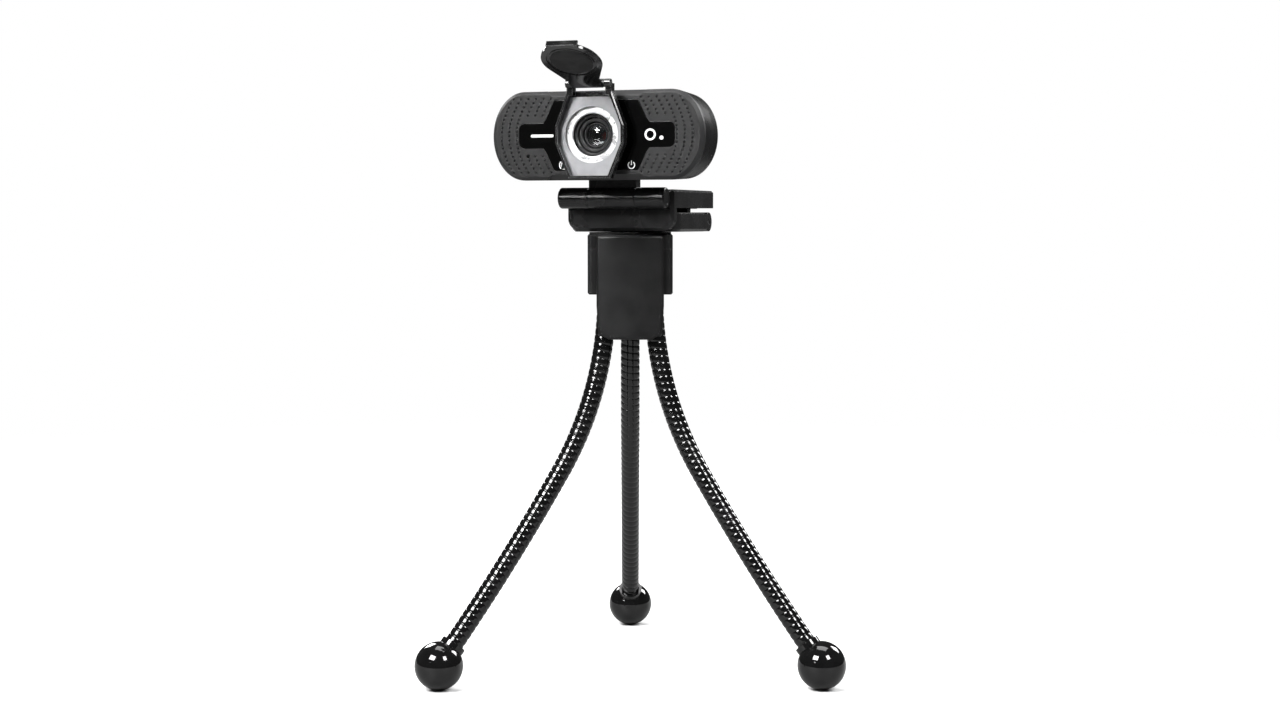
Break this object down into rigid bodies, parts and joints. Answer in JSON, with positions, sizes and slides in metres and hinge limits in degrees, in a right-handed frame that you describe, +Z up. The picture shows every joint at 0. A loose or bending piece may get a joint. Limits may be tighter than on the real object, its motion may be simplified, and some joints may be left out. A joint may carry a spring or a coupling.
{
  "type": "webcam on tripod",
  "caption": "Clip-on webcam with a flip-up lens cover, a folding clip and tilt hinge, screwed to a mini tripod with bendable gooseneck legs and ball feet.",
  "frame": {"origin": "on the floor, straight below the axis of the tripod's camera stud", "axes": "+Z up, the webcam looks along -Y, +X is to the right for someone facing the lens"},
  "size_m": [0.1607, 0.1675, 0.2509],
  "materials": {
    "bezel_plastic": "fine texture",
    "shell_plastic": "satin",
    "window_black": "gloss",
    "lens_black": "satin",
    "ring_metal": "satin",
    "cover_black": "satin",
    "cover_grey": "satin",
    "lid_black": "satin",
    "glass": "coated",
    "filter_glass": "coated",
    "sensor": "gloss",
    "circuit_board": "satin",
    "chip_black": "matte",
    "socket_white": "matte",
    "clear_plastic": "clear",
    "lamp_white": "gloss",
    "steel": "satin",
    "brass": "satin",
    "rubber": "matte",
    "clip_plastic": "fine texture",
    "head_plastic": "satin",
    "leg_sleeve": "gloss, ribbed",
    "foot_black": "gloss"
  },
  "bodies": {
    "tripod_head": {"head_cap": "head_plastic", "head_body": "head_plastic", "head_front_cover": "head_plastic", "camera_stud": "steel", "head_pad": "rubber", "head_screws": "steel", "leg_roots": "leg_sleeve", "leg_ferrules": "steel"},
    "clip_leg": {"clip_leg": "clip_plastic", "leg_pad": "rubber", "leg_pin": "steel", "thread_insert": "brass", "leg_washers": "steel"},
    "clip_base": {"clip_base": "clip_plastic", "base_pad": "rubber", "lip_pad": "rubber", "tilt_pin": "steel", "tilt_caps": "clip_plastic", "tilt_washers": "steel"},
    "camera": {"front_bezel": "bezel_plastic", "face_window": "window_black", "back_shell": "shell_plastic", "board_screws": "steel", "cable_gland": "rubber", "lens_boss": "lens_black", "lens_ring": "ring_metal", "lens_surround": "lens_black", "lens_barrel": "lens_black", "lens_retainer": "lens_black", "front_glass": "glass", "rear_glass": "glass", "lens_spacer": "lens_black", "filter_disc": "filter_glass", "lens_mount": "chip_black", "image_sensor": "sensor", "main_board": "circuit_board", "cable_socket": "socket_white", "processor_chip": "chip_black", "microphones": "steel", "light_guides": "clear_plastic", "status_lamps": "lamp_white", "camera_stem": "clip_plastic", "stem_screws": "steel", "cover_frame": "cover_black", "cover_plate": "cover_grey", "lid_pin": "steel"},
    "cover_lid": {"cover_lid": "lid_black", "lid_pad": "rubber"},
    "left_leg_upper": {"left_leg_upper": "leg_sleeve"},
    "left_leg_middle": {"left_leg_middle": "leg_sleeve"},
    "left_leg_lower": {"left_leg_lower": "leg_sleeve", "left_foot": "foot_black"},
    "right_leg_upper": {"right_leg_upper": "leg_sleeve"},
    "right_leg_middle": {"right_leg_middle": "leg_sleeve"},
    "right_leg_lower": {"right_leg_lower": "leg_sleeve", "right_foot": "foot_black"},
    "rear_leg_upper": {"rear_leg_upper": "leg_sleeve"},
    "rear_leg_middle": {"rear_leg_middle": "leg_sleeve"},
    "rear_leg_lower": {"rear_leg_lower": "leg_sleeve", "rear_foot": "foot_black"}
  },
  "joints": [
    {"name": "pan", "type": "hinge", "parent": "tripod_head", "child": "clip_leg", "pos_m": [0, 0, 0.17957], "axis": [0, 0, 1], "range_deg": [-180, 180]},
    {"name": "clip_open", "type": "hinge", "parent": "clip_leg", "child": "clip_base", "pos_m": [0, 0.039, 0.18357], "axis": [-1, 0, 0], "range_deg": [0, 95]},
    {"name": "tilt", "type": "hinge", "parent": "clip_base", "child": "camera", "pos_m": [0, -0.0197, 0.19307], "axis": [1, 0, 0], "range_deg": [-20, 45]},
    {"name": "lid", "type": "hinge", "parent": "camera", "child": "cover_lid", "pos_m": [0, -0.0469, 0.23687], "axis": [1, 0, 0], "range_deg": [-60, 116.5]},
    {"name": "left_leg_bend_1", "type": "hinge", "parent": "tripod_head", "child": "left_leg_upper", "pos_m": [-0.00844, -0.01006, 0.1309], "axis": [-0.766, 0.6428, 0], "range_deg": [-12, 28]},
    {"name": "left_leg_bend_2", "type": "hinge", "parent": "left_leg_upper", "child": "left_leg_middle", "pos_m": [-0.02084, -0.02484, 0.08307], "axis": [-0.766, 0.6428, 0], "range_deg": [-16, 28]},
    {"name": "left_leg_bend_3", "type": "hinge", "parent": "left_leg_middle", "child": "left_leg_lower", "pos_m": [-0.03743, -0.04461, 0.04621], "axis": [-0.766, 0.6428, 0], "range_deg": [-6, 28]},
    {"name": "right_leg_bend_1", "type": "hinge", "parent": "tripod_head", "child": "right_leg_upper", "pos_m": [0.01294, -0.00228, 0.1309], "axis": [-0.1736, -0.9848, 0], "range_deg": [-12, 28]},
    {"name": "right_leg_bend_2", "type": "hinge", "parent": "right_leg_upper", "child": "right_leg_middle", "pos_m": [0.03194, -0.00563, 0.08307], "axis": [-0.1736, -0.9848, 0], "range_deg": [-16, 28]},
    {"name": "right_leg_bend_3", "type": "hinge", "parent": "right_leg_middle", "child": "right_leg_lower", "pos_m": [0.05735, -0.01011, 0.04621], "axis": [-0.1736, -0.9848, 0], "range_deg": [-6, 28]},
    {"name": "rear_leg_bend_1", "type": "hinge", "parent": "tripod_head", "child": "rear_leg_upper", "pos_m": [-0.00449, 0.01234, 0.1309], "axis": [0.9397, 0.342, 0], "range_deg": [-12, 28]},
    {"name": "rear_leg_bend_2", "type": "hinge", "parent": "rear_leg_upper", "child": "rear_leg_middle", "pos_m": [-0.01109, 0.03047, 0.08307], "axis": [0.9397, 0.342, 0], "range_deg": [-16, 28]},
    {"name": "rear_leg_bend_3", "type": "hinge", "parent": "rear_leg_middle", "child": "rear_leg_lower", "pos_m": [-0.01992, 0.05473, 0.04621], "axis": [0.9397, 0.342, 0], "range_deg": [-6, 28]}
  ]
}
